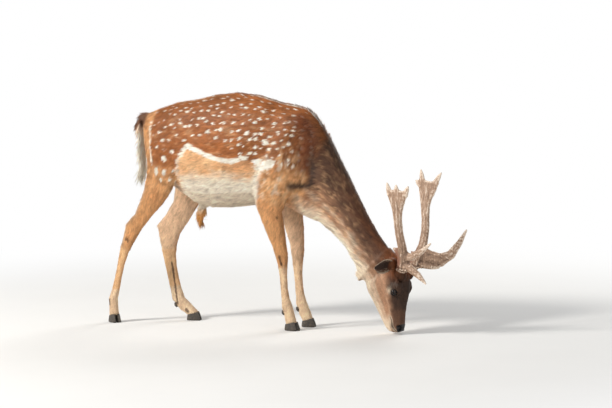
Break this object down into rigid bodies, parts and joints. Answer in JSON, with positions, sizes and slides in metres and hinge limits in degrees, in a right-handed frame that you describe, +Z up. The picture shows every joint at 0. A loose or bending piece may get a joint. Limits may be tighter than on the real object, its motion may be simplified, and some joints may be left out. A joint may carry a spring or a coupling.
{
  "type": "fallow deer",
  "caption": "Life-size still model of a grazing fallow deer buck with palmate antlers, standing on its hooves with its head lowered to the ground.",
  "frame": {"origin": "on the floor, under the middle of the animal's bounding box", "axes": "+X towards the nose, +Y towards the animal's left side, +Z up"},
  "size_m": [1.4734, 0.3326, 0.9284],
  "materials": {
    "coat": "short chestnut coat with pale spots",
    "horn": "dark smooth hoof horn",
    "antler": "pale grooved antler bone",
    "eye": "wet dark brown"
  },
  "bodies": {
    "root": {"trunk": "coat", "neck": "coat", "head": "coat", "tail": "coat", "sheath": "coat", "ear_right": "coat", "ear_left": "coat", "antler_right_palm": "antler", "antler_right_brow": "antler", "antler_right_trez": "antler", "antler_right_beam": "antler", "eye_right": "eye", "antler_left_palm": "antler", "antler_left_trez": "antler", "antler_left_beam": "antler", "eye_left": "eye", "foreleg_right_forearm": "coat", "foreleg_right_cannon": "coat", "foreleg_right_pastern": "coat", "foreleg_right_dewclaw_inner": "horn", "foreleg_right_hoof_inner": "horn", "foreleg_right_dewclaw_outer": "horn", "foreleg_right_hoof_outer": "horn", "foreleg_left_forearm": "coat", "foreleg_left_cannon": "coat", "foreleg_left_pastern": "coat", "foreleg_left_dewclaw_inner": "horn", "foreleg_left_hoof_inner": "horn", "foreleg_left_dewclaw_outer": "horn", "foreleg_left_hoof_outer": "horn", "hindleg_right_gaskin": "coat", "hindleg_right_cannon": "coat", "hindleg_right_pastern": "coat", "hindleg_right_dewclaw_inner": "horn", "hindleg_right_hoof_inner": "horn", "hindleg_right_dewclaw_outer": "horn", "hindleg_right_hoof_outer": "horn", "hindleg_left_gaskin": "coat", "hindleg_left_cannon": "coat", "hindleg_left_pastern": "coat", "hindleg_left_dewclaw_inner": "horn", "hindleg_left_hoof_inner": "horn", "hindleg_left_dewclaw_outer": "horn", "hindleg_left_hoof_outer": "horn"}
  },
  "joints": []
}
